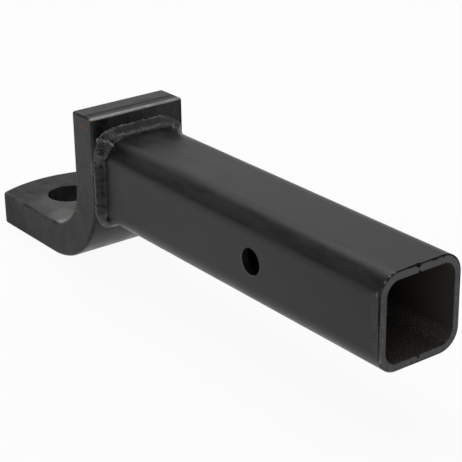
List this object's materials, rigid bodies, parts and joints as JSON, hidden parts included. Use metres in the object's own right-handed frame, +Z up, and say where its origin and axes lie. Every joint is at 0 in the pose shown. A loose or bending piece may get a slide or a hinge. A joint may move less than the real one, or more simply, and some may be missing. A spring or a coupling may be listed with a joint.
{
  "type": "hitch ball mount",
  "caption": "Welded drop ball mount: a hollow square shank with a cross-drilled pin hole, and a bent flat bar with a round hole for the hitch ball.",
  "frame": {"origin": "centre of the cross-drilled pin hole, on the shank's own axis", "axes": "+X along the shank towards its open mouth, +Y along the pin hole, +Z up; the tongue that carries the ball runs towards -X"},
  "size_m": [0.4275, 0.0784, 0.1195],
  "materials": {
    "shank_coating": "satin black coating over steel",
    "bar_coating": "satin black coating over steel, chipped and rusty in a few places",
    "weld_coating": "satin black coating over rippled weld metal"
  },
  "bodies": {
    "root": {"shank_tube": "shank_coating", "ball_platform": "bar_coating", "weld_top": "weld_coating", "weld_left_side": "weld_coating", "weld_bottom": "weld_coating", "weld_right_side": "weld_coating"}
  },
  "joints": []
}
